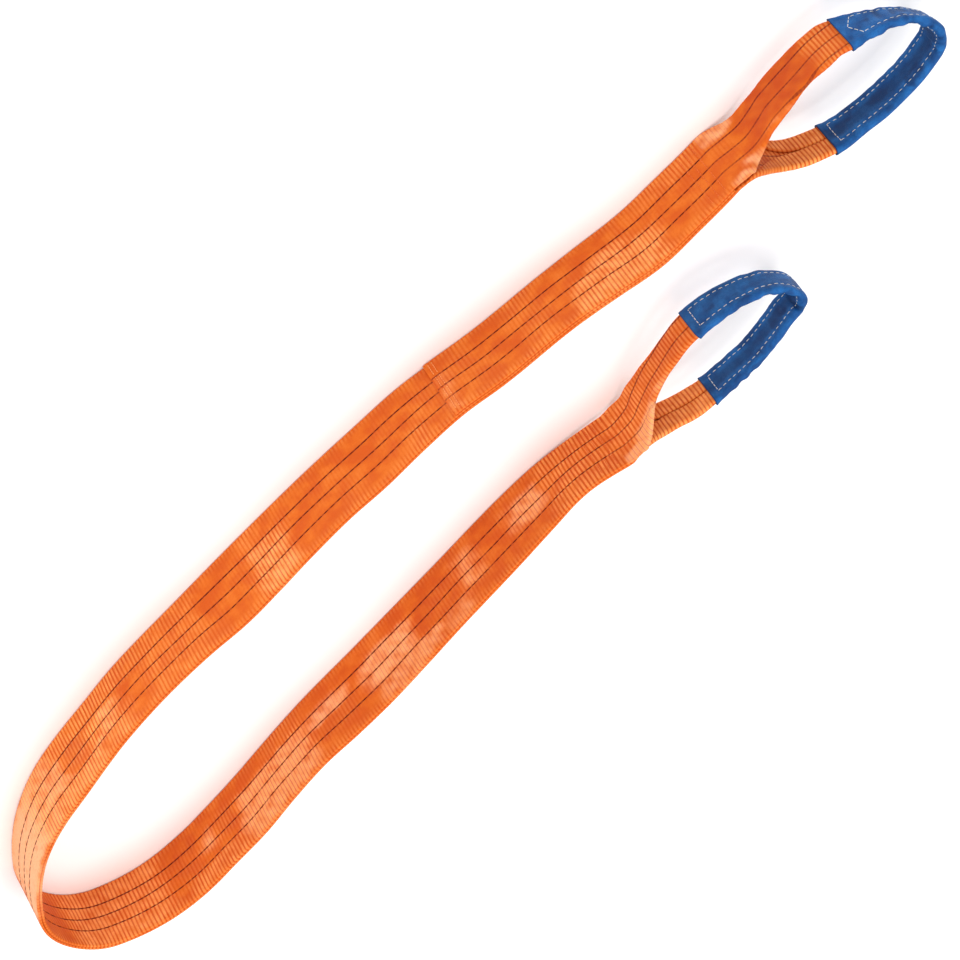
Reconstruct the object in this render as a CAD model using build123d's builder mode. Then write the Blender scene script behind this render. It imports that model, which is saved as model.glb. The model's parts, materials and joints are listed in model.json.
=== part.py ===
"""Duplex flat webbing lifting sling with two folded, sleeved eyes.

The sling stands on one edge of its webbing: the strap runs in the XY plane as a long U and its
width is along +Z.  The near leg is on the -Y side and the far leg on the +Y side, the U-bend is at
+X and both eyes are at -X.  The origin is the centre of the footprint, on the ground.

One strip of webbing makes the whole sling.  It is laid double along both legs and the bend, opens
into a loop at each end, and its outer end laps over itself near the first eye as a third ply.
"""
from build123d import *
import math
import os

# ---- webbing (mm) ----
strap_width = 90.0
ply = 3.0                    # thickness of one layer of webbing
sewn_gap = 0.1               # air left between two layers that are sewn together
folded_width = strap_width / 2   # in the eyes both edges are folded in to the middle
folded_thickness = 2 * ply
fold_length = 65.0           # over which the full width folds down at a throat
stripe_spacing = 19.0        # between the three marker stripes, which the ply seams follow

# ---- route of the strap's middle line, seen from above: (length mm, left turn degrees) ----
near_throat = (-372.1, -182.4)
leg_heading = 19.5           # direction in which the near leg leaves its throat
leg_bends = [(143, -16), (651, 14.6), (124, 8.4), (159, 40), (124, 97.3), (134, 34.4), (535, -2),
             (80, -12.4)]
# An eye leaves its throat along the leg and comes back to it.  The two lengths left open are its
# long sides: they follow from the loop closing.
near_eye_bends = [(30, -15.4), (75, 29.5), (None, -87.8), (44, -96.5), (None, -69.8), (20, 22.4),
                  (14, 37.6)]
far_eye_bends = [(11, 18.3), (115, 10.8), (None, -83.2), (34, -98.6), (None, -50.8), (35, 16), (10, 7.5)]

# ---- where the strap flexes: stations along the middle line, from the near throat ----
near_flex = 430.0
bend_near_end = 1040.0
bend_far_end = 1250.0
far_flex = 1600.0
splice_end = 353.0           # the third ply runs from the near throat to here
flex_gap = 3.0               # clear width between two bodies at a flex line

# ---- wear sleeves of coated cloth, sewn round the crown of each eye ----
sleeve_length = 290.0
near_sleeve_start = 177.0    # from the throat, along the eye
far_sleeve_start = 146.0
sleeve_cloth = 1.2
sleeve_clearance = 0.15      # round the webbing inside
sleeve_row_inset = 9.0       # of each stitch row from the sleeve's edge

# ---- sewing thread, as thin flat rows on the surface ----
thread_height = 0.5
thread_width = 1.4
thread_lift = 0.05
row_end_margin = 6.0         # a row stops this far from a flex line
cross_row_inset = 8.0        # of the rows across the strap from its edges
stripe_clearance = 1.4       # left free on each side of a marker stripe by those rows
throat_row_stations = (7.4, 16.4, 25.4)   # from a throat
splice_row_insets = (8.6, 12.6)           # from the end of the third ply

mid_height = strap_width / 2
stripe_heights = [mid_height - stripe_spacing, mid_height, mid_height + stripe_spacing]


# ---- routes ----
def turned(heading, length, turn):
    """Displacement along an arc that starts at a heading; both angles in degrees."""
    half = math.radians(turn) / 2
    chord = length * (math.sin(half) / half if turn else 1.0)
    direction = math.radians(heading) + half
    return chord * math.cos(direction), chord * math.sin(direction)


def chain(start, heading, bends):
    """Tangent arcs as (station, x, y, heading, length, turn), one after another."""
    arcs, station, (x, y) = [], 0.0, start
    for length, turn in bends:
        arcs.append((station, x, y, heading, length, turn))
        dx, dy = turned(heading, length, turn)
        station, x, y, heading = station + length, x + dx, y + dy, heading + turn
    return arcs


def place(arcs, station, side=0.0):
    """Point at a station of a route, moved to its left by side, with the heading there."""
    first, x, y, heading, length, turn = [a for a in arcs if a[0] <= station + 1e-9 or a is arcs[0]][-1]
    part = (station - first) / length
    dx, dy = turned(heading, station - first, turn * part)
    heading += turn * part
    angle = math.radians(heading)
    return x + dx - side * math.sin(angle), y + dy + side * math.cos(angle), heading


def end_of(arcs):
    return arcs[-1][0] + arcs[-1][4]


def closed_bends(start, heading, end, bends):
    """The same bends with the two open lengths worked out so that the loop ends at end."""
    open_ways, x, y = [], *start
    for length, turn in bends:
        dx, dy = turned(heading, length or 1.0, turn)
        if length is None:
            open_ways.append((dx, dy))
        else:
            x, y = x + dx, y + dy
        heading += turn
    (ax, ay), (bx, by) = open_ways
    gap_x, gap_y = end[0] - x, end[1] - y
    cross = ax * by - ay * bx
    solved = iter([(gap_x * by - gap_y * bx) / cross, (ax * gap_y - ay * gap_x) / cross])
    return [(next(solved) if length is None else length, turn) for length, turn in bends]


def eye_route(x, y, heading, bends):
    """Middle line of an eye's folded strap, from a throat whose way out is heading."""
    angle = math.radians(heading)
    apart = folded_thickness / 2 + sewn_gap
    left = (-apart * math.sin(angle), apart * math.cos(angle))
    start, end = (x + left[0], y + left[1]), (x - left[0], y - left[1])
    return chain(start, heading, closed_bends(start, heading, end, bends))


leg = chain(near_throat, leg_heading, leg_bends)
leg_length = end_of(leg)
far_x, far_y, far_heading = place(leg, leg_length)
near_eye = eye_route(*near_throat, leg_heading + 180, near_eye_bends)
far_eye = eye_route(far_x, far_y, far_heading, far_eye_bends)


# ---- solids ----
def trace(arcs, first, last, side):
    """Draws the line from station first to last of a route, moved to its left by side."""
    low, high = min(first, last), max(first, last)
    stops = [low] + [a[0] for a in arcs if low + 1e-6 < a[0] < high - 1e-6] + [high]
    pairs = list(zip(stops, stops[1:]))
    if last < first:
        pairs = [(b, a) for a, b in reversed(pairs)]
    for a, b in pairs:
        ThreePointArc(*[place(arcs, s, side)[:2] for s in (a, (a + b) / 2, b)])


def strip(arcs, first, last, right, left, low, high):
    """Upright strip that follows a route between two stations, two sides and two heights."""
    with BuildPart() as piece:
        with BuildSketch(Plane.XY.offset(low)):
            with BuildLine():
                trace(arcs, first, last, right)
                Line(place(arcs, last, right)[:2], place(arcs, last, left)[:2])
                trace(arcs, last, first, left)
                Line(place(arcs, first, left)[:2], place(arcs, first, right)[:2])
            make_face()
        extrude(amount=high - low)
    return piece.part


def finish(part, name):
    part.label = name
    export_step(part, f"parts/{name}.step")
    return part


def group(pieces, name):
    """Several separate solids kept together in one node."""
    return finish(Compound(children=pieces), name)


def leg_plies(name, first, last):
    """The outer and the inner ply of one length of the doubled strap."""
    first, last = first + flex_gap / 2, last - flex_gap / 2
    near_side, far_side = sewn_gap / 2, sewn_gap / 2 + ply
    finish(strip(leg, first, last, -far_side, -near_side, 0, strap_width), f"{name}_outer_ply")
    finish(strip(leg, first, last, near_side, far_side, 0, strap_width), f"{name}_inner_ply")


def thread_row(arcs, first, last, face, height, outward):
    """A lengthwise row of thread on the face that stands `face` to the left of a route."""
    low, high = face + outward * thread_lift, face + outward * (thread_lift + thread_height)
    return strip(arcs, first, last, min(low, high), max(low, high), height - thread_width / 2,
                 height + thread_width / 2)


def cross_row(arcs, station, face, outward, low, high):
    """A row of thread straight across the strap, on one face."""
    near, out = face + outward * thread_lift, face + outward * (thread_lift + thread_height)
    return strip(arcs, station - thread_width / 2, station + thread_width / 2, min(near, out),
                 max(near, out), low, high)


def broken_rows(station, face, outward):
    """A row across one face of the doubled strap, broken at each marker stripe."""
    breaks = [z + side * stripe_clearance for z in stripe_heights for side in (-1, 1)]
    ends = [cross_row_inset] + breaks + [strap_width - cross_row_inset]
    return [cross_row(leg, station, face, outward, a, b) for a, b in zip(ends[::2], ends[1::2])]


def ply_seams(name, first, last, third_ply_to=None):
    """The long rows that hold the plies together, along the three stripes, on both faces."""
    face = sewn_gap / 2 + ply
    first, last = first + row_end_margin, last - row_end_margin
    rows = [thread_row(leg, first, last, face, z, 1) for z in stripe_heights]
    if third_ply_to:
        lapped, bare = third_ply_to - row_end_margin, third_ply_to + row_end_margin
        rows += [thread_row(leg, first, lapped, -face - sewn_gap - ply, z, -1) for z in stripe_heights]
        first = bare
    rows += [thread_row(leg, first, last, -face, z, -1) for z in stripe_heights]
    group(rows, f"{name}_ply_seams")


def throat_seam(name, throat, away, outer_face):
    """Rows across the strap that stop the eye from opening further, on both faces."""
    rows = []
    for distance in throat_row_stations:
        rows += broken_rows(throat + away * distance, sewn_gap / 2 + ply, 1)
        rows += broken_rows(throat + away * distance, -outer_face, -1)
    group(rows, f"{name}_throat_seam")


def eye_strand(arcs, first, last, throat, heading):
    """Folded strap between the throat and the sleeve, tapering from the full width."""
    half = folded_thickness / 2
    reach = end_of(arcs)
    fold = (strap_width - folded_width) / 2
    throat_plane = Plane(origin=(*throat, 0), x_dir=(math.cos(heading), math.sin(heading), 0),
                         z_dir=(math.sin(heading), -math.cos(heading), 0))
    with BuildPart() as strand:
        add(strip(arcs, first, last, -half, half, 0, strap_width))
        with BuildSketch(throat_plane):
            with BuildLine():
                Polyline((0, 0), (fold_length, fold), (reach, fold), (reach, fold + folded_width),
                         (fold_length, fold + folded_width), (0, strap_width), close=True)
            make_face()
        extrude(amount=reach, both=True, mode=Mode.INTERSECT)
    return strand.part


def eye(name, arcs, sleeve_start, throat, heading):
    """One eye: two bare strands, the crown's webbing, the sleeve round it and its stitching."""
    half = folded_thickness / 2
    angle = math.radians(heading)
    sleeve_stop = sleeve_start + sleeve_length
    fold = (strap_width - folded_width) / 2
    room = sleeve_clearance
    wall = room + sleeve_cloth
    finish(eye_strand(arcs, flex_gap / 2, sleeve_start - room, throat, angle), f"{name}_front_strand")
    finish(eye_strand(arcs, sleeve_stop + room, end_of(arcs) - flex_gap / 2, throat, angle),
           f"{name}_back_strand")
    finish(strip(arcs, sleeve_start, sleeve_stop, -half, half, fold, fold + folded_width),
           f"{name}_crown_webbing")
    with BuildPart() as sleeve:
        add(strip(arcs, sleeve_start, sleeve_stop, -half - wall, half + wall, fold - wall,
                  fold + folded_width + wall))
        add(strip(arcs, sleeve_start, sleeve_stop, -half - room, half + room, fold - room,
                  fold + folded_width + room), mode=Mode.SUBTRACT)
    finish(sleeve.part, f"{name}_wear_sleeve")
    low, high = fold + sleeve_row_inset, fold + folded_width - sleeve_row_inset
    first, last = sleeve_start + sleeve_row_inset, sleeve_stop - sleeve_row_inset
    for face_name, outward in (("outer", 1), ("inner", -1)):
        face = outward * (half + wall)
        rows = [thread_row(arcs, first, last, face, z, outward) for z in (low, high)]
        rows += [cross_row(arcs, s, face, outward, low + thread_width, high - thread_width)
                 for s in (first, last)]
        group(rows, f"{name}_sleeve_{face_name}_stitching")


os.makedirs("parts", exist_ok=True)

lengths = {
    "near_leg_front": (0, near_flex),
    "near_leg_back": (near_flex, bend_near_end),
    "bend": (bend_near_end, bend_far_end),
    "far_leg_back": (bend_far_end, far_flex),
    "far_leg_front": (far_flex, leg_length),
}
for part_name, (begins, ends) in lengths.items():
    leg_plies(part_name, begins, ends)
    ply_seams(part_name, begins, ends, splice_end if part_name == "near_leg_front" else None)

# The strap's outer end laps over the near leg as a third ply, sewn down across its end.
two_plies = sewn_gap / 2 + ply
three_plies = two_plies + sewn_gap + ply
finish(strip(leg, flex_gap / 2, splice_end, -three_plies, -two_plies - sewn_gap, 0, strap_width),
       "near_leg_front_splice_ply")
splice_rows = []
for inset in splice_row_insets:
    splice_rows += broken_rows(splice_end - inset, -three_plies, -1)
group(splice_rows, "near_leg_front_splice_seam")

throat_seam("near_leg_front", 0, 1, three_plies)
throat_seam("far_leg_front", leg_length, -1, two_plies)

eye("near_eye", near_eye, near_sleeve_start, near_throat, leg_heading + 180)
eye("far_eye", far_eye, far_sleeve_start, (far_x, far_y), far_heading)
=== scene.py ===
"""Duplex flat webbing lifting sling with two folded, sleeved eyes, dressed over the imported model.

One strip of webbing makes the whole sling: it starts as the third ply at the splice, goes round the
near eye, back along the legs as the inner ply, round the far eye, and returns as the outer ply.
A place on the strip is (along, across): `along` from the near throat where the third ply enters the
near eye, and `across` from its middle line, upwards.  The face called outer is on the left of travel,
and it is the face that shows wherever two plies lie together.  A station is a distance along the
legs' middle line from the near throat, or round an eye from where the strip enters it.  Lengths here
are in millimetres; the meshes are made in metres.
"""
import json
import math
from collections import namedtuple

import bpy
import numpy as np
from mathutils import Matrix, Vector


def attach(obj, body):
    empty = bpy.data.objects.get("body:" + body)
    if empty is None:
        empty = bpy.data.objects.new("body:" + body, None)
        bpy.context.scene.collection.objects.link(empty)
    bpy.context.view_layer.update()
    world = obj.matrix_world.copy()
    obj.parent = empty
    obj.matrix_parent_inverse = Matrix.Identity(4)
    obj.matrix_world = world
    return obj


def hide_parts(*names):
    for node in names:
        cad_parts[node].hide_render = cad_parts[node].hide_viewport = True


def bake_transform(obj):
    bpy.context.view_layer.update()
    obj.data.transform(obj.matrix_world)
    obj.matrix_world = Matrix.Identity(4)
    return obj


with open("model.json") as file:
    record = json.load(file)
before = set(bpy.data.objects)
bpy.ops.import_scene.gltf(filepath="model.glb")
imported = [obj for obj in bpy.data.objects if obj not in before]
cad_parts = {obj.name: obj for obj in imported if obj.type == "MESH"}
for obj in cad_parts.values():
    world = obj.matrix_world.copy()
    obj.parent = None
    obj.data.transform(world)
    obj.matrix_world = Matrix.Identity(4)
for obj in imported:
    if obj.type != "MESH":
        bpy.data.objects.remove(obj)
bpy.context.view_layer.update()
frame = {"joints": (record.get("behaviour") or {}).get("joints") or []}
MM = 0.001

joints = {j["name"]: j for j in frame["joints"]}


def pivot(joint):
    """Where a joint's axis stands, seen from above."""
    x, y, _ = joints[joint]["pos_m"]
    return x / MM, y / MM


# ---- webbing ----
strap_width = 90.0
half_width = strap_width / 2
ply = 3.0
ply_pitch = 3.1              # between the middles of two layers sewn together
stripe_spacing = 19.0
stripes = (-stripe_spacing, 0.0, stripe_spacing)
stripe_strengths = (1.0, 0.85, 0.75)
rib_pitch = 4.5              # of the weft rows across the strap
panel_phases = (0.0, 0.25, 0.125, 0.375)  # of a rib, in the panels between the stripes
yarn_pitch = 1.1             # of the warp yarns, and of the sleeves' cloth
ring_step = rib_pitch / 4
coarse_step = 5              # one ring in so many is kept where a sleeve hides the webbing
splice_length = 353.0
curl_radius = 1.65           # of a folded edge, at the middle of the layer
flap_gap = 0.6               # half the gap between two edges folded in to the middle
far_pinch = 0.1              # how much the lower half narrows at the far throat

# ---- thread ----
thread_lift = 0.05           # of a stitch's middle line over the cloth
seam_pitch, seam_stitch, seam_radius = 9.0, 6.4, 0.48
seam_inset = 6.0             # from a throat or the splice's end to the first stitch
cross_pitch, cross_stitch, cross_radius = 3.6, 2.7, 0.5
cross_margin = 5.0           # from the strap's edges to a row across it
stripe_clearance = 1.8       # from a stripe to the middle of a stitch in such a row
stitch_rise = 0.25           # how far the middle of a stitch stands up
throat_rows = (8.0, 17.0, 26.0)
splice_rows = (5.0, 9.5)     # from the splice's end

# ---- route of the strap's middle line, seen from above: (length, left turn in degrees) ----
near_throat = pivot("near_eye_swing")
leg_heading = 19.5
leg_bends = [(143, -16), (651, 14.6), (124, 8.4), (159, 40), (124, 97.3), (134, 34.4), (535, -2), (80, -12.4)]
near_eye_bends = [(30, -15.4), (75, 29.5), (None, -87.8), (44, -96.5), (None, -69.8), (20, 22.4),
                  (14, 37.6)]
far_eye_bends = [(11, 18.3), (115, 10.8), (None, -83.2), (34, -98.6), (None, -50.8), (35, 16), (10, 7.5)]

# ---- how the strap hangs off those lines ----
# Legs: (station, how far it leans to the left of the line).
lower_lean = [
    (0, 2.3), (60, 1), (100, 3), (150, 3.5), (200, 4.5), (300, 6), (345, 2), (380, -1), (450, 0),
    (500, 0.5), (600, 2.5), (700, 3.5), (800, 2), (850, 3.7), (900, 3), (1000, 4), (1080, 4), (1150, 0),
    (1200, -4), (1250, -5.5), (1300, -4), (1400, -3.7), (1450, -0.7), (1500, 1.5), (1600, -0.5),
    (1700, -1.5), (1850, -2.5), (1900, -7), (1950, -9)]
upper_lean = [
    (0, 2.3), (60, 2), (100, 4.4), (150, 1), (200, -1.7), (300, -0.3), (345, -4), (400, -1.7), (450, 2),
    (500, 1.4), (560, 4.5), (600, 7.4), (650, 8.5), (700, 2.7), (760, -1), (820, -0.5), (900, 3.7),
    (1000, 1.2), (1080, 5), (1150, 8), (1200, 3), (1250, -0.7), (1350, -1.8), (1400, -2.9), (1450, 1.5),
    (1500, 3.3), (1550, -1.5), (1600, -4), (1650, -2.9), (1700, -0.7), (1800, 1.8), (1850, 4.4),
    (1900, 6.6), (1950, -1.5)]
# Eyes: (station, flat strap below and above the middle line, distance out from the line, tilt in degrees).
# The rest of each edge is folded in behind.
hang_below, hang_above, hang_out, hang_tilt = 1, 2, 3, 4
near_hang = [
    (0, 45, 45, -0.75, 0), (20, 42, 45, -3, 0), (40, 37.5, 32, -2, 0), (60, 35, 25, 3.2, 0),
    (75, 32, 25.5, 6.5, 0), (90, 33.5, 24.5, 5.5, 0), (120, 33.5, 20, -0.5, 0), (150, 31, 24, -0.8, 0),
    (165, 30.5, 22.5, -0.8, 0), (180, 25, 25, -0.5, 0), (205, 22, 22, -2, 6), (235, 20.5, 20.5, -1, 15),
    (265, 20.5, 20.5, -1.5, 15), (300, 20.5, 20.5, -6, 2), (360, 20.5, 20.5, -5, 0),
    (400, 20.5, 20.5, -3, 0), (430, 20.5, 20.5, 0, 0), (455, 22, 22, 4.4, 0), (480, 23, 23, 6.4, 0),
    (495, 23.5, 23.5, 7.4, 0), (510, 24.5, 24.5, 7.2, 0), (525, 28, 26.5, 5.6, 0), (540, 34, 31, 3, 0),
    (560, 42, 39, 0.8, 0), (588, 45, 45, 0.75, 0)]
far_hang = [
    (0, 45, 45, -6.8, 4.8), (15, 43, 45, -9.5, 4), (30, 39, 38, -10, 2), (45, 35, 29, -4.7, 0),
    (60, 30, 20, 0, 0), (75, 27, 17, 3.5, 0), (90, 24.5, 16, 4.7, 0), (120, 22, 17.5, 5.7, 0),
    (150, 23, 18.5, 2, 0), (165, 21, 21, 2.5, 0), (200, 19, 19, 1.65, 0), (245, 18.5, 18.5, 3, 4),
    (280, 18.5, 18.5, -3, 0), (315, 18.5, 18.5, -9.5, 0), (345, 18.5, 18.5, -8, 0),
    (375, 18.5, 18.5, -4.5, 0), (405, 19, 19, -3, 0), (435, 20, 20, 1.65, 0), (450, 21.5, 21.5, 3.6, 0),
    (465, 22, 22, 4.7, 0), (480, 22, 22, 5, 0), (495, 23, 24.7, 5, 0), (510, 28, 29, 4, 0),
    (525, 36, 36, 2.5, -2), (540, 42, 42.5, 3, -4), (550, 45, 45, 3.7, -4.8)]

# ---- patches: (from, to, lowest, highest, how proud the ribs are and their painted light, painted pale highlight) ----
# Below 0 the last two stand for sunk ribs and for deeper colour.
rib_relief_and_light, highlight_and_deep_kind = 0, 1
patch_edge, patch_edge_across = 14, 6     # half the width of a patch's soft edge
leg_rib_and_highlight_patches = [
    (5, 90, -45, -20, 0.35, 0.1), (85, 190, 0, 45, 0.75, 0.3), (120, 160, -15, 45, 0.8, 0.35),
    (225, 260, -45, 45, 0.2, 0), (340, 352, -18, 45, 0.5, 0.4), (385, 400, 15, 45, 0.4, 0.1),
    (565, 615, -18, 45, 0.8, 0.35), (590, 612, -45, -20, 0.4, 0.1), (690, 770, -45, 45, 0.35, 0.05),
    (790, 960, -45, -18, 0.7, 0.15), (815, 868, -16, 20, 0.9, 0.5), (800, 840, 10, 45, 0.6, 0.2),
    (845, 960, 18, 45, 0.8, 0.3), (900, 970, -20, 20, 0.7, 0.6), (925, 985, -45, 45, 0.8, 0.55),
    (960, 1078, -45, 45, 0.15, 1.1), (1000, 1070, -45, 45, 0.1, 1.35), (1092, 1150, -45, 45, 0.1, -0.5),
    (850, 905, -20, 12, 0.4, -0.7), (770, 900, -45, -18, 0.5, -0.45), (1275, 1325, -45, 22, 0.1, -0.4),
    (1350, 1385, -24, 10, 0.2, -0.6), (1505, 1570, 4, 22, 0.1, -0.5), (1440, 1500, -45, -22, 0.3, -0.4),
    (1660, 1730, -22, 18, 0.1, -0.4), (1865, 1950, -45, 45, 0.2, -0.35), (1150, 1275, -45, 45, 0.75, 0.25),
    (1328, 1350, -22, 8, 0.7, 0.6), (1290, 1390, 20, 45, 0.6, 0.2), (1385, 1500, -20, 45, 0.8, 0.65),
    (1470, 1495, -30, 20, 0.7, 0.4), (1505, 1560, -20, 5, 0.3, 0.7), (1585, 1665, -20, 20, 0.5, 0.75),
    (1600, 1690, 16, 45, 0.5, 0.55), (1735, 1760, -30, 20, 0.5, 0.5), (1690, 1740, 15, 45, 0.2, 0.35),
    (1815, 1865, -25, 15, 0.6, 0.65), (1865, 1950, -45, 45, 0.7, 0.05)]
near_rib_and_highlight_patches = [
    (40, 140, -45, 45, -0.25, -0.9), (140, 177, -45, 45, 0.4, -0.6), (0, 70, -45, -24, 0.3, 0.75),
    (450, 530, -45, 45, 1, 0.22), (530, 588, -45, 45, 0.3, 0.2), (0, 34, 38, 45, 0.3, 1.3),
    (30, 60, 26, 42, 0.3, 1.3), (55, 120, 18, 26, 0.3, 1.3)]
far_rib_and_highlight_patches = [
    (0, 60, -45, 45, 0.7, 0.1), (60, 150, -45, 45, 0.5, -0.5), (425, 550, -45, 45, 1, 0.28),
    (0, 40, 33, 45, 0.3, 1.6), (30, 70, 16, 38, 0.3, 1.6), (60, 100, 10, 18, 0.3, 1.3)]

# ---- wear sleeves ----
sleeve_length = 290.0
near_sleeve_start, far_sleeve_start = 177.0, 146.0
sleeve_half_depth = 4.6
sleeve_margin = 1.5          # beyond the webbing's folded edges
sleeve_cloth = 1.1
row_inset = 8.5              # from the sleeve's edges to its rows of stitching
row_pitch, row_stitch, row_radius = 7.0, 4.2, 0.38
row_rise = 0.3
row_clearance = 0.6          # from a row's corners and from the middle line to its first stitch
near_row_point = 10.0        # how far the near sleeve's outer row is drawn out
deepest_dent = 0.9           # where the cloth meets the webbing inside
mouth_length, mouth_flare = 7.0, 0.9
bend_lag = 12.0              # how far into an arc of the eye its wrinkles are at their fullest
ring_margin = 8.0            # from a sleeve's mouth to where the webbing in it gets sparse rings


# ---- routes ----
def turned(heading, length, turn):
    half = math.radians(turn) / 2
    chord = length * (math.sin(half) / half if turn else 1.0)
    direction = math.radians(heading) + half
    return chord * math.cos(direction), chord * math.sin(direction)


def chain(start, heading, bends):
    """Tangent arcs as rows of station, x, y, heading and left turn per millimetre."""
    rows, station, (x, y) = [], 0.0, start
    for length, turn in bends:
        rows.append((station, x, y, math.radians(heading), math.radians(turn) / length))
        dx, dy = turned(heading, length, turn)
        station, x, y, heading = station + length, x + dx, y + dy, heading + turn
    return np.array(rows), station


def at(route, station):
    """Points of a route and the headings there."""
    rows = route[0]
    first = np.clip(np.searchsorted(rows[:, 0], station, side="right") - 1, 0, len(rows) - 1)
    s0, x, y, heading, bend = np.moveaxis(rows[first], -1, 0)
    run = station - s0
    middle = heading + bend * run / 2
    chord = run * np.sinc(bend * run / (2 * np.pi))
    return x + chord * np.cos(middle), y + chord * np.sin(middle), heading + bend * run


def closed_bends(start, heading, end, bends):
    """The same bends with the two open lengths worked out so that the loop ends at end."""
    open_ways, x, y = [], *start
    for length, turn in bends:
        dx, dy = turned(heading, length or 1.0, turn)
        if length is None:
            open_ways.append((dx, dy))
        else:
            x, y = x + dx, y + dy
        heading += turn
    (ax, ay), (bx, by) = open_ways
    gap_x, gap_y = end[0] - x, end[1] - y
    cross = ax * by - ay * bx
    solved = iter([(gap_x * by - gap_y * bx) / cross, (ax * gap_y - ay * gap_x) / cross])
    return [(next(solved) if length is None else length, turn) for length, turn in bends]


def eye_route(x, y, heading, bends):
    """Middle line of an eye's folded strap, from a throat whose way out is heading."""
    angle = math.radians(heading)
    left = (-ply_pitch * math.sin(angle), ply_pitch * math.cos(angle))
    start, end = (x + left[0], y + left[1]), (x - left[0], y - left[1])
    return chain(start, heading, closed_bends(start, heading, end, bends))


leg = chain(near_throat, leg_heading, leg_bends)
leg_length = leg[1]
far_x, far_y, far_heading = (float(a) for a in at(leg, leg_length))
near_loop = eye_route(*near_throat, leg_heading + 180, near_eye_bends)
far_loop = eye_route(far_x, far_y, math.degrees(far_heading), far_eye_bends)

# where the strip passes from one stretch to the next
near_loop_end = near_loop[1]
inner_end = near_loop_end + leg_length
far_loop_end = inner_end + far_loop[1]
outer_end = far_loop_end + leg_length

# An eye: where the strip enters it, its tables and how much its lower half narrows at the throat; then its
# sleeve: where it starts, the seed of its folds, where it has ridges, and how far its outer row is drawn out.
Eye = namedtuple("Eye", "name loop entry hang wear pinch sleeve_start seed ridges row_point")
eyes = (Eye("near_eye", near_loop, 0.0, near_hang, near_rib_and_highlight_patches, 0.0, near_sleeve_start, 41, (20, 85),
            near_row_point),
        Eye("far_eye", far_loop, inner_end, far_hang, far_rib_and_highlight_patches, far_pinch, far_sleeve_start, 51, (200, 270),
            0.0))


# Where the strip passes a station of the legs, as their third ply, their inner ply and their outer ply.
def third(station):
    return -station


def inner(station):
    return near_loop_end + station


def outer(station):
    return outer_end - station


def smooth(t):
    t = np.clip(t, 0, 1)
    return t * t * (3 - 2 * t)


def profile(rows, x, column=1):
    """A smooth curve through the values set at a few stations in one column of a table."""
    table = np.array(rows, float)
    spots, values = table[:, 0], table[:, column]
    slopes = np.gradient(values, spots)
    i = np.clip(np.searchsorted(spots, x, side="right") - 1, 0, len(spots) - 2)
    width = spots[i + 1] - spots[i]
    t = np.clip((x - spots[i]) / width, 0, 1)
    return (values[i] * (1 + 2 * t) * (1 - t) ** 2 + values[i + 1] * t * t * (3 - 2 * t)
            + width * (slopes[i] * t * (1 - t) ** 2 - slopes[i + 1] * t * t * (1 - t)))


def waves(a, b, sizes, seed):
    """Smooth, even irregularity from -1 to 1 over a plane, with features of the sizes given."""
    rng = np.random.RandomState(seed)
    total = 0.0
    for size in sizes:
        for _ in range(3):
            angle, phase = rng.uniform(0, 2 * np.pi, 2)
            stretch = rng.uniform(0.8, 1.3)
            way = a * math.cos(angle) + b * math.sin(angle)
            total = total + np.sin(2 * np.pi * way / size * stretch + phase)
    return total / (3 * len(sizes)) * 1.4


# ---- the strip of webbing ----
def leg_station(along):
    """Station on the legs' middle line, for the strip's stretches that lie along the legs."""
    return np.where(along < 0, -along, np.where(along < inner_end, along - near_loop_end, outer_end - along))


def lie(along):
    """How the strip lies at each place.

    Gives its line (x, y), the direction out from it, the layer's distance out, how far the flat part
    reaches below and above the middle line, how far the lower and the upper edge lean out, and the
    share that the lower half is narrowed by.
    """
    station = np.clip(leg_station(along), 0, leg_length)
    x, y, heading = at(leg, station)
    back = np.where((along < 0) | (along >= far_loop_end), -1.0, 1.0)
    out_x, out_y = -np.sin(heading) * back, np.cos(heading) * back
    out = np.where(along < 0, 1.5 * ply_pitch, ply_pitch / 2)
    below, above = np.full_like(along, half_width), np.full_like(along, half_width)
    lower, upper = back * profile(lower_lean, station), back * profile(upper_lean, station)
    pinch = far_pinch * smooth((station - leg_length + 90) / 90)
    for eye in eyes:
        length = eye.loop[1]
        here = (along >= eye.entry) & (along < eye.entry + length)
        go = np.clip(along - eye.entry, 0, length)
        eye_x, eye_y, heading = at(eye.loop, go)
        x, y = np.where(here, eye_x, x), np.where(here, eye_y, y)
        out_x, out_y = np.where(here, -np.sin(heading), out_x), np.where(here, np.cos(heading), out_y)
        below = np.where(here, profile(eye.hang, go, hang_below), below)
        above = np.where(here, profile(eye.hang, go, hang_above), above)
        out = np.where(here, profile(eye.hang, go, hang_out), out)
        tilt = half_width * np.tan(np.radians(profile(eye.hang, go, hang_tilt)))
        lower, upper = np.where(here, -tilt, lower), np.where(here, tilt, upper)
        near_an_end = 1 - smooth(np.minimum(go, length - go) / 30)
        pinch = np.where(here, eye.pinch * near_an_end, pinch)
    return x, y, out_x, out_y, out, below, above, lower, upper, pinch


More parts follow.
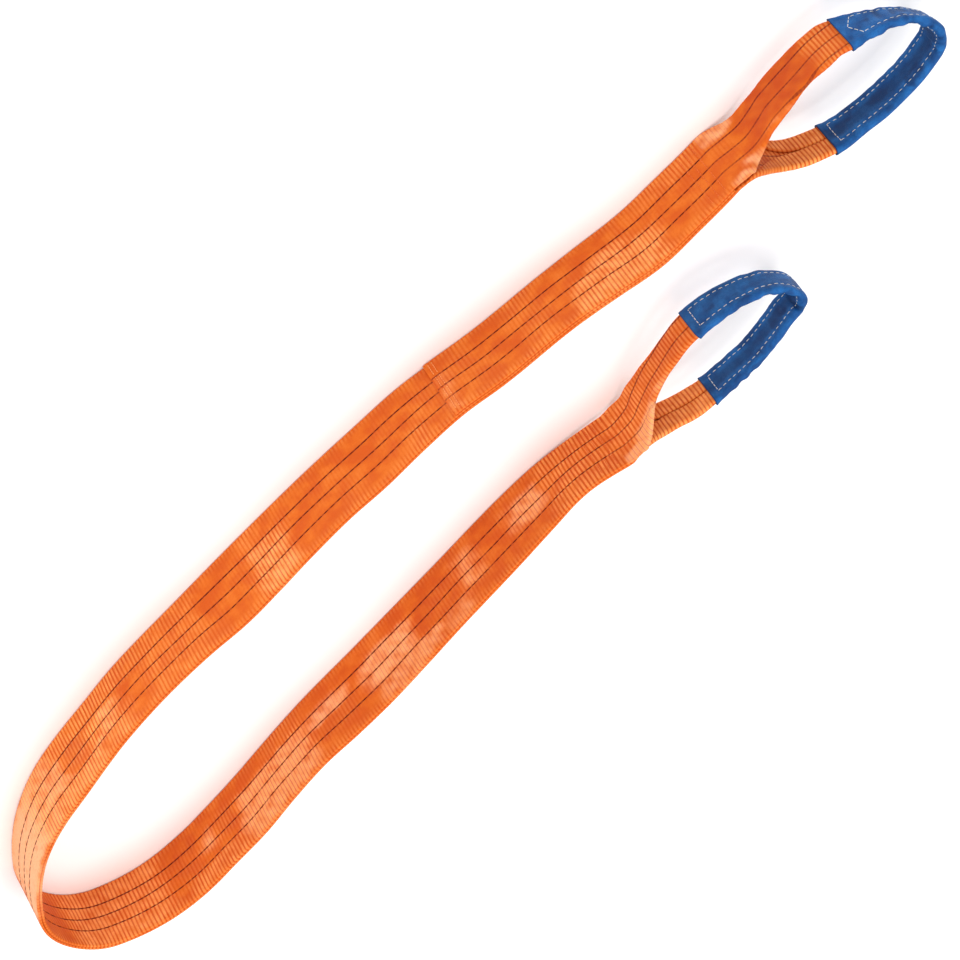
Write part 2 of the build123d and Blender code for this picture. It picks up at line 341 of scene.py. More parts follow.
def strap(along, across, height):
    """Points at a height from the layer's middle, on its outer side where positive."""
    along, across, height = np.broadcast_arrays(np.asarray(along, float), across, height)
    x, y, out_x, out_y, out, below, above, lower, upper, pinch = lie(along)
    # the stripes wander a little from their straight lines
    wander = sum(0.7 * waves(along, 0 * along, (230, 90), 5 + k) * np.exp(-((across - s) / 5.0) ** 2)
                 for k, s in enumerate(stripes))
    side, reach = np.sign(across + wander), np.abs(across + wander)
    extent = np.where(side < 0, below, above)
    flat = extent - (curl_radius + ply / 2) * smooth((half_width - extent) / 6)
    # beyond the flat part the strap curls round and runs back flat behind itself
    past = reach - flat
    turn = np.clip(past / curl_radius, 0, np.pi)
    run = np.maximum(past - np.pi * curl_radius, 0)
    longest = half_width - flat - np.pi * curl_radius
    allowed = flat - side * (above - below) / 2 - flap_gap
    run = run * np.where(longest > 0, np.minimum(1, allowed / np.maximum(longest, 1e-6)), 1)
    outward = -curl_radius * (1 - np.cos(turn)) + height * np.cos(turn)
    z = side * (np.minimum(reach, flat) + curl_radius * np.sin(turn) - run + height * np.sin(turn))
    z = np.where(z < 0, z * (1 - pinch), z)
    outward = outward + out + lower + (upper - lower) * (z + half_width) / strap_width
    return np.stack([x + out_x * outward, y + out_y * outward, half_width + z], -1) * MM


def rib(along, across):
    """Height of the weft rows from 0 to 1, and how far they are shifted along, panel by panel."""
    panel = np.searchsorted(np.array(stripes), across)
    shift = np.array(panel_phases)[panel] * rib_pitch
    shift = shift + 0.9 * waves(along, across, (130, 60), 3)
    return np.abs(np.sin(np.pi * (along + shift) / rib_pitch)) ** 0.8, shift


def soft_box(place, low, high, edge):
    """1 between low and high, falling smoothly to 0 across each edge."""
    return smooth((place - low + edge) / (2 * edge)) * smooth((high + edge - place) / (2 * edge))


def marks(rows, station, across, kind):
    """The strongest of a list of soft-edged patches at each place, less what the darker ones take away."""
    drift = 7 * waves(station, across, (60, 35), 31)
    light, dark = np.zeros_like(station), np.zeros_like(station)
    for low, high, bottom, top, *strengths in rows:
        here = strengths[kind] * soft_box(station + drift, low, high, patch_edge)
        here = here * soft_box(across + 0.4 * drift, bottom, top, patch_edge_across)
        light, dark = np.maximum(light, here), np.minimum(dark, here)
    return light + dark


def rib_and_highlight_strength(along, across, kind):
    """By kind, how proud the ribs are with their painted light, and how strong the painted pale highlight is;
    from -1 to 1.
    """
    along, across = np.broadcast_arrays(np.asarray(along, float), across)
    value = marks(leg_rib_and_highlight_patches, leg_station(along), across, kind)
    for eye in eyes:
        here = (along >= eye.entry) & (along < eye.entry + eye.loop[1])
        value = np.where(here, marks(eye.wear, along - eye.entry, across, kind), value)
    value = value * (0.75 + 0.35 * waves(along, across, (26, 12), 11))
    if kind == rib_relief_and_light:
        value = value + 0.04 + 0.1 * waves(along, across, (120, 50), 12)
        value = value + 0.2 * smooth((np.abs(across) - 34) / 8)
    return np.clip(value, -1, 1)


def relief(along, across):
    """Height of the outer face above its plain level: ribs, puffed panels and sunk stripes."""
    row, _ = rib(along, across)
    near_stripe = np.min([np.abs(across - s) for s in stripes], axis=0)
    puff = 0.25 * (1 - np.exp(-(near_stripe / 4.0) ** 2)) * smooth((half_width + 2 - np.abs(across)) / 9)
    groove = 0.3 * np.exp(-(near_stripe / 0.9) ** 2)
    strength = 0.04 + 0.28 * rib_and_highlight_strength(along, across, rib_relief_and_light)
    return puff - groove + strength * (row - 0.6) * (1 - 0.7 * np.exp(-(near_stripe / 1.0) ** 2))


def covered(along):
    """1 where the outer face lies under the third ply or in a sleeve, and has no relief of its own."""
    under = smooth((splice_length + 2 - leg_station(along)) / 3.0) * (along >= far_loop_end)
    for eye in eyes:
        go = along - eye.entry - eye.sleeve_start
        under = np.maximum(under, smooth((go - 3) / 4) * smooth((sleeve_length - 3 - go) / 4))
    return under


def selvage(across):
    """How full the layer is near its rounded edges."""
    return np.sqrt(np.clip(1 - ((np.abs(across) - half_width + ply / 2) / (ply / 2)).clip(0) ** 2, 0, 1))


# ---- places across the strap where its meshes have columns of points, from the middle outwards ----
panel_columns = [0.45, 1.0, 3.0, 7.0, 9.5, 12.0, 16.0, 18.0, 18.55]
edge_columns = [0.0, 0.45, 1.0, 3.0, 7.0, 11.0, 15.0, 19.0, 22.0, 23.8, 24.9, 25.6, 25.9]
leg_half = panel_columns + [stripe_spacing + c for c in edge_columns]
fold_columns = list(np.arange(20.6, 43.4, 1.15))
eye_half = [0.45, 1.2, 4.0, 8.0, 12.0, 15.5, 17.8, 18.55, 19.0, 19.45, *fold_columns,
            43.6, 44.35, 44.8, 44.97]
leg_columns, eye_columns = (np.array([-c for c in half[::-1]] + [0.0] + half)
                            for half in (leg_half, eye_half))
plain_columns = np.array([-44.9, -44.0, -30.0, -10.0, 10.0, 30.0, 44.0, 44.9])


def mesh_object(name, points, faces, uv=None, flat_faces=0, values=None):
    """An object from points and faces; the last flat_faces are sharp-edged."""
    mesh = bpy.data.meshes.new(name)
    mesh.from_pydata(points.tolist(), [], faces)
    count = len(mesh.polygons)
    smooth_flags = np.ones(count, bool)
    if flat_faces:
        smooth_flags[-flat_faces:] = False
    mesh.polygons.foreach_set("use_smooth", smooth_flags)
    if uv is not None:
        corners = np.empty(len(mesh.loops), np.int32)
        mesh.loops.foreach_get("vertex_index", corners)
        layer = mesh.uv_layers.new(name="strap")
        layer.data.foreach_set("uv", uv[corners].astype(np.float32).ravel())
    for key, data in (values or {}).items():
        mesh.attributes.new(key, "FLOAT", "POINT").data.foreach_set("value", np.asarray(data, np.float32))
    mesh.validate()
    mesh.update()
    obj = bpy.data.objects.new(name, mesh)
    bpy.context.scene.collection.objects.link(obj)
    return obj


def grid_faces(rings, around, first=0, flip=False):
    """Quads of a closed tube of rings."""
    i, j = np.meshgrid(np.arange(rings - 1), np.arange(around), indexing="ij")
    a, b = first + i * around + j, first + i * around + (j + 1) % around
    quads = np.stack([a, b, b + around, a + around], -1).reshape(-1, 4)
    return quads[:, ::-1] if flip else quads


def ring_stations(start, stop, coarse=()):
    """Places along the strip every quarter rib, and sparse in the coarse stretches."""
    steps = np.arange(round(start / ring_step), round(stop / ring_step) + 1)
    stations = steps * ring_step
    keep = np.ones(len(stations), bool)
    for low, high in coarse:
        keep &= ~((stations > low) & (stations < high) & (steps % coarse_step != 0))
    keep[[0, -1]] = True
    return stations[keep]


def strip_mesh(start, stop, columns, inner_columns, coarse=(), cut_ends=()):
    """Points, faces, strap coordinates and patch values of one length of the strip, closed at its ends."""
    stations = ring_stations(start, stop, coarse)
    section = np.concatenate([columns, [half_width], inner_columns[::-1], [-half_width]])
    along, across = np.meshgrid(stations, section, indexing="ij")
    # 1 on the outer face, -1 on the inner face and 0 on the two edges between them
    side = np.concatenate([np.ones(len(columns)), [0], -np.ones(len(inner_columns)), [0]])
    bare = 1 - covered(along)
    row, shift = rib(along, across)
    raised = relief(along, across) * bare
    height = side * ply / 2 * selvage(across) + (side > 0) * raised * selvage(across)
    for end in cut_ends:
        height = height * (0.55 + 0.45 * smooth(np.abs(along - end) / 2.2))
    edge = np.sign(across) * 0.28 * (row - 0.6) * bare * smooth((np.abs(across) - 43) / 1.5)
    points = strap(along, across + edge, height).reshape(-1, 3)
    rings, around = along.shape
    faces = grid_faces(rings, around).tolist()
    faces.append(list(range(around))[::-1])
    faces.append([(rings - 1) * around + k for k in range(around)])
    uv = np.stack([(along + shift) * MM, across * MM], -1).reshape(-1, 2)
    return points, faces, uv, [rib_and_highlight_strength(along, across, kind).ravel() for kind in (rib_relief_and_light, highlight_and_deep_kind)]


def webbing(name, lengths):
    """One piece of webbing from several lengths of the strip."""
    points, faces, uvs, wear, caps, total = [], [], [], [], [], 0
    for args in lengths:
        some_points, some_faces, uv, values = strip_mesh(*args)
        moved = [[k + total for k in face] for face in some_faces]
        faces += moved[:-2]
        caps += moved[-2:]
        points.append(some_points)
        uvs.append(uv)
        wear.append(values)
        total += len(some_points)
    proud_and_lit, faded = np.concatenate(wear, axis=1)
    obj = mesh_object(name, np.concatenate(points), faces + caps, np.concatenate(uvs), len(caps),
                      {"proud_and_lit": proud_and_lit, "faded": faded})
    sharp_ends(obj.data, len(caps))
    return obj


def sharp_ends(mesh, caps):
    """Keeps the shading of the long faces apart from that of the end caps."""
    edges = set()
    for face in list(mesh.polygons)[-caps:]:
        edges.update(face.edge_keys)
    for edge in mesh.edges:
        if edge.key in edges:
            edge.use_edge_sharp = True


def stitches(name, first, last, normal, radius, lift):
    """Short round stitches from first to last, each dipping into the cloth at its ends."""
    first, last, normal = (np.asarray(v, float) for v in (first, last, normal))
    way = last - first
    way /= np.linalg.norm(way, axis=1)[:, None]
    normal = normal - (normal * way).sum(1)[:, None] * way
    normal /= np.linalg.norm(normal, axis=1)[:, None]
    beside = np.cross(way, normal)
    shape = [(0.0, -0.6, 0.45), (0.08, 0.1, 0.9), (0.3, 0.85, 1.0), (0.7, 0.85, 1.0), (0.92, 0.1, 0.9),
             (1.0, -0.6, 0.45)]     # share of the stitch, rise, size
    sides = 6
    rings = []
    for share, rise, size in shape:
        middle = first + (last - first) * share + normal * lift * rise
        for k in range(sides):
            angle = 2 * math.pi * k / sides
            spoke = math.cos(angle) * beside + 0.75 * math.sin(angle) * normal
            rings.append(middle + radius * size * spoke)
    points = np.stack(rings, 1)
    count, each = points.shape[:2]
    ends = [list(range(sides))[::-1], [each - sides + k for k in range(sides)]]
    one = grid_faces(len(shape), sides).tolist() + ends
    faces = [[k + i * each for k in face] for i in range(count) for face in one]
    run = np.tile(np.repeat([share for share, _, _ in shape], sides), count)
    return mesh_object(name, points.reshape(-1, 3), faces, values={"run": run})


def strap_rows(rows):
    """Stitch ends and normals for rows of (along values, across values) pairs on the outer face."""
    first, last, normal = [], [], []
    base = ply / 2 + thread_lift
    for start, stop in rows:
        places = np.broadcast_arrays(*start, *stop)
        along, across, to_along, to_across = (np.asarray(v, float) for v in places)
        first.append(strap(along, across, base + relief(along, across)))
        last.append(strap(to_along, to_across, base + relief(to_along, to_across)))
        middle = (along + to_along) / 2, (across + to_across) / 2
        normal.append(strap(*middle, base + 1.0) - strap(*middle, base))
    return np.concatenate(first), np.concatenate(last), np.concatenate(normal)


# ---- materials ----
def material(name, roughness, specular=0.5):
    mat = bpy.data.materials.new(name)
    mat.use_nodes = True
    tree = mat.node_tree
    shader = tree.nodes["Principled BSDF"]
    shader.inputs["Roughness"].default_value = roughness
    shader.inputs["Specular IOR Level"].default_value = specular
    return mat, tree, shader


class Nodes:
    """Short ways to make and link the nodes of one material."""

    def __init__(self, tree):
        self.tree = tree

    def add(self, kind, **settings):
        node = self.tree.nodes.new(kind)
        for key, value in settings.items():
            setattr(node, key, value)
        return node

    def put(self, socket, value):
        if isinstance(value, bpy.types.NodeSocket):
            self.tree.links.new(value, socket)
        else:
            socket.default_value = value

    def math(self, operation, a, b=0.0, c=0.0, clamp=False):
        node = self.add("ShaderNodeMath", operation=operation, use_clamp=clamp)
        for socket, value in zip(node.inputs, (a, b, c)):
            self.put(socket, value)
        return node.outputs[0]

    def mix(self, factor, a, b):
        node = self.add("ShaderNodeMix", data_type="RGBA")
        for socket, value in ((0, factor), (6, a), (7, b)):     # where this node takes colours
            self.put(node.inputs[socket], value)
        return node.outputs[2]

    def strap_places(self):
        """The piece's own map, and the places along and across on it, in metres."""
        uv = self.add("ShaderNodeUVMap", uv_map="strap").outputs[0]
        split = self.add("ShaderNodeSeparateXYZ")
        self.put(split.inputs[0], uv)
        return uv, split.outputs[0], split.outputs[1]

    def attribute(self, name):
        return self.add("ShaderNodeAttribute", attribute_name=name).outputs["Fac"]

    def noise(self, vector, scale, detail=2.0, rough=0.5):
        node = self.add("ShaderNodeTexNoise")
        self.put(node.inputs["Vector"], vector)
        self.put(node.inputs["Scale"], scale)
        self.put(node.inputs["Detail"], detail)
        self.put(node.inputs["Roughness"], rough)
        return node.outputs["Fac"]

    def step(self, value, low, high):
        node = self.add("ShaderNodeMapRange", interpolation_type="SMOOTHSTEP")
        for key, v in zip(("Value", "From Min", "From Max"), (value, low, high)):
            self.put(node.inputs[key], v)
        return node.outputs[0]

    def bump(self, height, distance, strength):
        node = self.add("ShaderNodeBump")
        self.put(node.inputs["Height"], height)
        self.put(node.inputs["Distance"], distance)
        self.put(node.inputs["Strength"], strength)
        return node.outputs[0]


def rgb(r, g, b):
    """A colour given as it looks on a screen, from 0 to 255, for a shader."""
    linear = [((c / 255 + 0.055) / 1.055) ** 2.4 if c > 10 else c / 255 / 12.92 for c in (r, g, b)]
    return (*linear, 1.0)


def webbing_material():
    mat, tree, shader = material("webbing_orange", 0.6, 0.2)
    n = Nodes(tree)
    uv, along_m, across_m = n.strap_places()
    along, across = n.math("DIVIDE", along_m, MM), n.math("DIVIDE", across_m, MM)
    # how proud the ribs are with their painted light, and the painted pale highlight and deeper colour
    proud_and_lit, faded = n.attribute("proud_and_lit"), n.attribute("faded")
    wave = n.math("SINE", n.math("MULTIPLY", along, math.pi / rib_pitch))
    row = n.math("POWER", n.math("ABSOLUTE", wave), 0.8)
    # warp yarns run lengthwise, and each passes over and under the weft rows in turn
    yarn = n.math("ABSOLUTE", n.math("SINE", n.math("MULTIPLY", across, math.pi / yarn_pitch)))
    cloudy, speckle = n.noise(uv, 45.0, 3.0), n.noise(uv, 420.0, 2.0)

    # uneven dye, then pale patches of painted highlight and deeper patches
    base = n.mix(n.step(cloudy, 0.35, 0.7), rgb(205, 84, 4), rgb(219, 105, 11))
    pale_highlight = n.step(n.math("MULTIPLY_ADD", cloudy, 0.5, faded), 0.25, 1.15)
    base = n.mix(n.math("MULTIPLY", pale_highlight, 0.85), base, rgb(248, 182, 134))
    base = n.mix(n.math("MULTIPLY", faded, -0.8, clamp=True), base, rgb(182, 60, 2))

    # ribs: painted shade between the rows and a painted highlight on top of them
    rib_valley_shade = n.math("SUBTRACT", 1.0, n.step(row, 0.0, 0.65))
    rib_valley_shade = n.math("MULTIPLY", rib_valley_shade, n.math("MULTIPLY_ADD", proud_and_lit, 0.8, 0.03))
    base = n.mix(rib_valley_shade, base, rgb(204, 70, 6))
    rib_top_highlight = n.math("MULTIPLY", n.step(row, 0.45, 0.95), n.math("MULTIPLY", proud_and_lit, 0.9))
    base = n.mix(rib_top_highlight, base, rgb(255, 168, 88))
    base = n.mix(n.math("MULTIPLY", n.step(speckle, 0.5, 0.75), 0.3), base, rgb(204, 74, 6))
    rim = n.step(n.math("ABSOLUTE", across), 43.4, 44.6)
    base = n.mix(n.math("MULTIPLY", rim, 0.2), base, rgb(214, 96, 24))

    # marker stripes, broken by the rows and paler under the painted highlight
    stripe = 0.0
    for place, strength in zip(stripes, stripe_strengths):
        away = n.math("ABSOLUTE", n.math("SUBTRACT", across, place))
        line = n.math("SUBTRACT", 1.0, n.step(away, 0.7, 1.3))
        stripe = n.math("MAXIMUM", stripe, n.math("MULTIPLY", line, strength))
    over = n.math("MULTIPLY_ADD", n.step(row, 0.4, 1.0), -0.25, 1.0)
    broken = n.math("MULTIPLY_ADD", n.step(n.noise(uv, 90.0, 2.0), 0.35, 0.6), 0.3, 0.7)
    stripe_under_highlight = n.math("SUBTRACT", 1.0, n.math("MULTIPLY", n.step(faded, 0.6, 1.0), 0.5))
    stripe = n.math("MULTIPLY", stripe, stripe_under_highlight)
    base = n.mix(n.math("MULTIPLY", n.math("MULTIPLY", stripe, over), broken), base, rgb(112, 20, 0))
    n.put(shader.inputs["Base Color"], base)
    n.put(shader.inputs["Roughness"], n.math("MULTIPLY_ADD", speckle, 0.25, 0.5))

    rows = n.math("MULTIPLY", row, n.math("MULTIPLY_ADD", proud_and_lit, 0.65, 0.15))
    height = n.math("MULTIPLY_ADD", yarn, 0.30, rows)
    height = n.math("MULTIPLY_ADD", speckle, 0.35, height)
    n.put(shader.inputs["Normal"], n.bump(height, 0.00022, 0.8))
    return mat


def sleeve_material():
    mat, tree, shader = material("sleeve_blue", 0.5, 0.2)
    n = Nodes(tree)
    uv, along_m, across_m = n.strap_places()
    warp, weft = (n.math("SINE", n.math("MULTIPLY", place, 2 * math.pi / (yarn_pitch * MM)))
                  for place in (along_m, across_m))
    weave = n.math("MULTIPLY", warp, weft)
    cloudy, fine = n.noise(uv, 60.0, 3.0), n.noise(uv, 500.0, 2.0)
    blotch = n.noise(uv, 38.0, 2.0, 0.6)
    painted_shade = n.attribute("painted_shade")
    base = n.mix(n.step(cloudy, 0.3, 0.7), rgb(8, 74, 138), rgb(26, 102, 172))
    base = n.mix(n.math("MULTIPLY", n.step(blotch, 0.48, 0.66), 0.72), base, rgb(6, 48, 102))
    # painted shade inside the sleeve and in its folds, and a painted shadow at its hems
    base = n.mix(n.math("MULTIPLY", painted_shade, 0.6, clamp=True), base, rgb(3, 30, 72))
    base = n.mix(n.math("MULTIPLY", n.step(fine, 0.45, 0.75), 0.35), base, rgb(6, 54, 110))
    base = n.mix(n.math("MULTIPLY", n.step(weave, -0.2, 0.9), 0.15), base, rgb(60, 130, 196))
    n.put(shader.inputs["Base Color"], base)
    n.put(shader.inputs["Roughness"], n.math("MULTIPLY_ADD", fine, 0.3, 0.4))
    height = n.math("MULTIPLY_ADD", weave, 0.5, n.math("MULTIPLY", cloudy, 0.8))
    n.put(shader.inputs["Normal"], n.bump(height, 0.00025, 0.7))
    return mat


def thread_material(name, light, dark):
    """Twisted thread; the run along each stitch sets where its twist shows."""
    mat, tree, shader = material(name, 0.6, 0.15)
    n = Nodes(tree)
    place = n.add("ShaderNodeTexCoord").outputs["Object"]
    grain = n.noise(place, 900.0, 2.0)
    twist = n.math("SINE", n.math("MULTIPLY", n.attribute("run"), 30.0))
    share = n.step(n.math("MULTIPLY_ADD", twist, 0.15, grain), 0.3, 0.7)
    n.put(shader.inputs["Base Color"], n.mix(share, dark, light))
    n.put(shader.inputs["Normal"], n.bump(n.math("MULTIPLY_ADD", twist, 0.4, grain), 0.0001, 0.8))
    return mat


orange, blue = webbing_material(), sleeve_material()
red_thread = thread_material("thread_dark_red", rgb(116, 26, 4), rgb(74, 12, 0))
orange_thread = thread_material("thread_orange", rgb(234, 124, 60), rgb(208, 88, 30))
pale_thread = thread_material("thread_pale_orange", rgb(248, 172, 108), rgb(228, 126, 64))
white_thread = thread_material("thread_white", rgb(240, 240, 232), rgb(196, 196, 190))


def dress(obj, mat, slot, *nodes):
    obj.data.materials.append(mat)
    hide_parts(*nodes)
    return obj


def flex(obj):
    """Bakes a piece's transform into its mesh."""
    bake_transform(obj)


def follow(obj, body, joint):
    """A piece with a joint has its transform baked; one without rides on its body."""
    if joint:
        flex(obj)
    else:
        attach(obj, body)


# ---- the two eyes, the lapped end and the legs, each one piece of webbing ----
eye_reach = 60.0             # how far an eye's piece runs along the legs
outer_stop = 2.0             # station where the outer ply ends, under the lapped end
eye_stretches = ((third(eye_reach), inner(eye_reach)),
                 (inner(leg_length - eye_reach), outer(leg_length - eye_reach)))
leg_pieces = (
    ("near_leg", eye_reach, 730.0, "near_leg_front", "near_leg_flex"),
    ("near_back", 730.0, 1145.0, "near_leg_back", "near_bend_flex"),
    ("bend", 1145.0, 1425.0, "bend", "far_bend_flex"),
    ("far_back", 1425.0, 1775.0, "far_leg_back", "far_leg_flex"),
    ("far_leg", 1775.0, leg_length - eye_reach, "far_leg_front", None))

for eye, (start, stop) in zip(eyes, eye_stretches):
    mouth = eye.entry + eye.sleeve_start
    hidden = (mouth + ring_margin, mouth + sleeve_length - ring_margin)
    piece = webbing(f"{eye.name}_webbing", [(start, stop, eye_columns, eye_columns, [hidden])])
    dress(piece, orange, "webbing_orange", f"{eye.name}_front_strand", f"{eye.name}_back_strand",
          f"{eye.name}_crown_webbing")
    flex(piece)

piece = webbing("splice_ply", [(third(splice_length), third(eye_reach), leg_columns, plain_columns, (),
                                (third(splice_length),))])
dress(piece, orange, "webbing_orange", "near_leg_front_splice_ply")
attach(piece, "near_leg_front")

for name, low, high, body, joint in leg_pieces:
    outer_low = outer_stop if name == "near_leg" else low
    piece = webbing(f"{name}_webbing", [(inner(low), inner(high), leg_columns, plain_columns),
                                        (outer(high), outer(outer_low), leg_columns, plain_columns)])
    dress(piece, orange, "webbing_orange", f"{body}_outer_ply", f"{body}_inner_ply")
    follow(piece, body, joint)


# ---- rows of dark thread that hold the plies together, along the stripes ----
def ply_seams(name, low, high):
    """The three rows on every face of the legs between two stations."""
    rows = []
    past_splice = max(low, splice_length + 4)
    before_splice = splice_length - seam_inset
    for first, last, place in ((low, high, inner), (past_splice, high, outer), (low, before_splice, third)):
        if last - first < seam_pitch:
            continue
        steps = np.arange(first + 3, last - seam_pitch + 2, seam_pitch)
        rows += [((place(steps), s), (place(steps + seam_stitch), s)) for s in stripes]
    return stitches(name, *strap_rows(rows), seam_radius * MM, stitch_rise * MM)


for name, low, high, body, joint in leg_pieces:
    first = seam_inset if name == "near_leg" else low
    last = leg_length - seam_inset if name == "far_leg" else high
    seams = dress(ply_seams(f"{name}_seams", first, last), red_thread, "thread_dark_red", f"{body}_ply_seams")
    follow(seams, body, joint)


# ---- rows across the strap ----
def cross_rows(name, body, node, faces, stations, thread):
    """Rows of thread across the strap at some stations of the legs, on the faces given."""
    starts = np.arange(-half_width + cross_margin, half_width - cross_margin - cross_stitch, cross_pitch)
    from_stripe = np.min([np.abs(starts + cross_stitch / 2 - s) for s in stripes], axis=0)
    starts = starts[from_stripe > stripe_clearance]
    rows = []
    for place in faces:
        for s in stations:
            along = place(np.full(len(starts), s))
            rows.append(((along, starts), (along, starts + cross_stitch)))
    obj = stitches(name, *strap_rows(rows), cross_radius * MM, stitch_rise * MM)
    dress(obj, thread, "thread_orange", node)
    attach(obj, body)


cross_rows("splice_seam", "near_leg_front", "near_leg_front_splice_seam", [third],
           [splice_length - d for d in splice_rows], pale_thread)
cross_rows("near_throat_seam", "near_leg_front", "near_leg_front_throat_seam", [third, inner], throat_rows,
           orange_thread)
cross_rows("far_throat_seam", "far_leg_front", "far_leg_front_throat_seam", [inner, outer],
           [leg_length - d for d in throat_rows], orange_thread)


# ---- the sleeves and their stitching ----
sleeve_rings = np.linspace(0, sleeve_length, 208)


def sleeve_section(straight_points=20, round_points=12):
    """Places round the sleeve's flat oval: the share of the straight half, then the round end's rise and
    depth, both for a round end of size 1."""
    share, rise, depth = [], [], []
    steps = (np.arange(straight_points) + 0.5) / straight_points
    angles = np.arange(round_points) / (round_points - 1)
    for face in (1, -1):
        share += list(face * (2 * steps - 1)) + [face] * round_points
        rise += [0.0] * straight_points + list(face * np.sin(np.pi * angles))
        depth += [face] * straight_points + list(face * np.cos(np.pi * angles))
    return np.array(share, float), np.array(rise), np.array(depth, float)


def faces_at(out_depth):
    """Whether a place is on the sleeve's inner face, and whether it is on its outer face."""
    return out_depth < -0.3, out_depth > 0.3


class Sleeve:
    """A tube of cloth round the crown of one eye, sewn flat.  Places on it are given by `go`, the distance
    from its first mouth, and z, the height over its own middle line."""

    def __init__(self, eye):
        self.eye = eye

    def sizes(self, go):
        """Half the sleeve's width, and the height of its middle over the webbing's middle line."""
        station = self.eye.sleeve_start + go
        below, above = (profile(self.eye.hang, station, k) for k in (hang_below, hang_above))
        return (below + above) / 2 + sleeve_margin, (above - below) / 2

    def folds(self, go, z, out_depth):
        """Height of the folds: wrinkles where the eye turns, and ridges across each face."""
        eye, line = self.eye, self.eye.loop[0]
        turns = np.interp(eye.sleeve_start + go, line[:, 0] + bend_lag, np.abs(line[:, 4]))
        inner_face, outer_face = faces_at(out_depth)
        wrinkle = smooth((turns - 0.008) / 0.02) * waves(go, 0.25 * z, (13, 21), eye.seed)
        ridge = 1.3 * waves(go, 0.2 * z, (9, 15), eye.seed + 2)
        ridge = ridge * soft_box(go, *eye.ridges, patch_edge) * outer_face
        ridge = ridge + 0.4 * waves(go, 0.3 * z, (11, 19), eye.seed + 3) * inner_face
        return ridge + (1.3 * inner_face + 0.6) * wrinkle

    def surface(self, go, z, depth, out_z, out_depth):
        """Points of the cloth, whose inner face is sunk along its middle."""
        station = self.eye.sleeve_start + go
        x, y, heading = at(self.eye.loop, station)
        half, middle = self.sizes(go)
        inner_face, outer_face = faces_at(out_depth)
        rumple = 0.45 * waves(go, z, (46, 27), self.eye.seed + 1)
        sunk = 1.1 * (1 - smooth((np.abs(z) - 4) / 10)) * inner_face
        crown = 0.4 * (1 - (z / half) ** 2) * outer_face
        seam = 0.45 * np.exp(-((np.abs(z) - half + row_inset) / 1.6) ** 2)
        swell = rumple + self.folds(go, z, out_depth) + crown - sunk - seam
        mouth = 1 - smooth(np.minimum(go, sleeve_length - go) / mouth_length)
        swell = np.maximum(swell * (1 - mouth), -deepest_dent) + mouth_flare * mouth
        high = middle + z + out_z * swell * 0.6
        tilt = np.tan(np.radians(profile(self.eye.hang, station, hang_tilt)))
        out = profile(self.eye.hang, station, hang_out) - curl_radius + depth
        out = out + out_depth * swell + tilt * high
        return np.stack([x - np.sin(heading) * out, y + np.cos(heading) * out, half_width + high], -1) * MM

    def cloth(self):
        share, rise, depth = sleeve_section()
        go, share = np.meshgrid(sleeve_rings, share, indexing="ij")
        out_z, out_depth = (np.broadcast_to(v, go.shape) for v in (rise, depth))
        half, _ = self.sizes(go)
        layers = []
        for inset in (0.0, sleeve_cloth):
            size = sleeve_half_depth - inset
            z = share * (half - sleeve_half_depth) + out_z * size
            layers.append(self.surface(go, z, out_depth * size, out_z, out_depth).reshape(-1, 3))
        rings, around = go.shape
        count = go.size
        faces = [grid_faces(rings, around), grid_faces(rings, around, count, True)]
        for ring in (0, rings - 1):
            k = ring * around + np.arange(around)
            after = ring * around + (np.arange(around) + 1) % around
            quads = np.stack([k, k + count, after + count, after], -1)
            faces.append(quads if ring == 0 else quads[:, ::-1])
        place = np.cumsum(np.linalg.norm(np.diff(layers[0][:around], axis=0, prepend=layers[0][:1]), axis=1))
        uv = np.stack([go * MM, np.broadcast_to(place, go.shape)], -1).reshape(-1, 2)
        # painted shade along the inner face's middle and in the folds, and a painted shadow at the hems
        inner_face, _ = faces_at(out_depth)
        inner_middle_shade = inner_face * (1 - smooth((np.abs(share) - 0.2) / 0.5))
        hem_shadow = 1.6 * ((go < 0.5) | (go > sleeve_length - 0.5))
        fold_shade = np.clip(-1.1 * self.folds(go, share * half, out_depth), 0, 1)
        painted_shade = np.tile(np.maximum(np.maximum(inner_middle_shade, fold_shade), hem_shadow).ravel(), 2)
        obj = mesh_object(f"{self.eye.name}_sleeve", np.concatenate(layers), np.concatenate(faces).tolist(),
                          np.concatenate([uv, uv]), values={"painted_shade": painted_shade})
        dress(obj, blue, "sleeve_blue", f"{self.eye.name}_wear_sleeve")
        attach(obj, self.eye.name)
        return obj

    def rows(self, side, face, point):
        """White stitching on one face: two long rows, and a row at each end, the first one pointed."""
        low, high = row_inset + 1, sleeve_length - row_inset - 1
        runs = []
        for sign in (-1, 1):
            first, last = low + point + row_clearance, high - row_stitch
            g = np.linspace(first, last, round((last - first) / row_pitch) + 1)
            runs.append((g, sign * (self.sizes(g)[0] - row_inset), g + row_stitch,
                         sign * (self.sizes(g + row_stitch)[0] - row_inset)))
            for end, slope in ((low, point), (high, 0.0)):
                edge = float(self.sizes(np.array(end))[0]) - row_inset
                r = np.arange(row_clearance, edge - 2, row_pitch * 0.8)
                r2 = np.minimum(r + row_stitch, edge)
                runs.append((end + slope * r / edge, sign * r, end + slope * r2 / edge, sign * r2))
        g0, z0, g1, z1 = (np.concatenate([run[k] for run in runs]) for k in range(4))

        def on(g, z, lift):
            return self.surface(g, z, face * (sleeve_half_depth + lift), 0 * g, 0 * g + face)
        normal = on((g0 + g1) / 2, (z0 + z1) / 2, 1.0) - on((g0 + g1) / 2, (z0 + z1) / 2, 0.0)
        obj = stitches(f"{self.eye.name}_sleeve_stitching_{side}", on(g0, z0, thread_lift),
                       on(g1, z1, thread_lift), normal, row_radius * MM, row_rise * MM)
        dress(obj, white_thread, "thread_white", f"{self.eye.name}_sleeve_{side}_stitching")
        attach(obj, self.eye.name)
        return obj


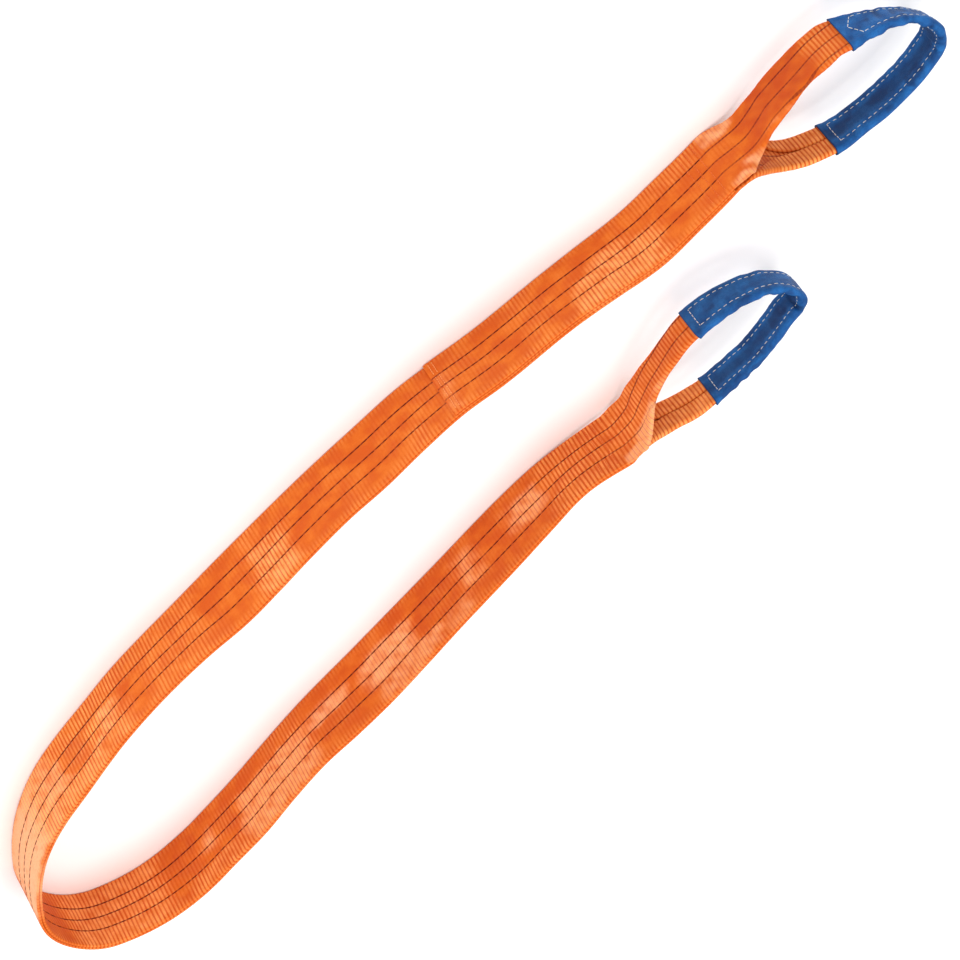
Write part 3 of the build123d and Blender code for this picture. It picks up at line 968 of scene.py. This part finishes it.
for eye in eyes:
    sleeve = Sleeve(eye)
    tube = sleeve.cloth()
    rows = [sleeve.rows("outer", 1, eye.row_point), sleeve.rows("inner", -1, 0.0)]

# ---- floor, light and camera ----
bpy.ops.mesh.primitive_plane_add(size=14.0, location=(0, 0, -0.0005))
floor = bpy.context.object
floor.name = "floor"
floor_material, _, floor_shader = material("floor_pale", 0.9)
floor_shader.inputs["Base Color"].default_value = (0.97, 0.97, 0.97, 1)
floor.data.materials.append(floor_material)

world = bpy.data.worlds.new("studio")
bpy.context.scene.world = world
world.use_nodes = True
background = world.node_tree.nodes["Background"]
background.inputs["Color"].default_value = (1, 1, 1, 1)
background.inputs["Strength"].default_value = 0.72


def area_light(name, place, target, size, power):
    light = bpy.data.lights.new(name, "AREA")
    light.size, light.energy = size, power
    obj = bpy.data.objects.new(name, light)
    obj.location = place
    obj.rotation_euler = (Vector(target) - Vector(place)).to_track_quat("-Z", "Y").to_euler()
    bpy.context.scene.collection.objects.link(obj)


area_light("key", (1.9, -2.1, 1.2), (0.2, 0, 0), 1.2, 23)
area_light("fill", (-2.0, -1.6, 1.4), (0, 0, 0), 2.2, 6)
area_light("top", (-0.1, 0.2, 3.2), (-0.1, 0, 0), 3.0, 82)

# The camera looks down at 45 degrees, and is rolled so that the sling is turned as in the photo.
pitch, roll = math.radians(45.0), math.radians(146.009)
camera_place = (-0.0071, -2.5905, 2.63265)
forward = Vector((0, math.cos(pitch), -math.sin(pitch)))
level, rising = Vector((1, 0, 0)), Vector((0, math.sin(pitch), math.cos(pitch)))
right = math.cos(roll) * level + math.sin(roll) * rising
top = -math.sin(roll) * level + math.cos(roll) * rising
camera_data = bpy.data.cameras.new("camera")
camera_data.sensor_width, camera_data.lens = 36.0, 135.0
camera = bpy.data.objects.new("camera", camera_data)
turned_to_view = Matrix((right, top, -forward)).transposed().to_4x4()
camera.matrix_world = Matrix.Translation(camera_place) @ turned_to_view
bpy.context.scene.collection.objects.link(camera)
bpy.context.scene.camera = camera
bpy.context.scene.view_settings.view_transform = "Standard"
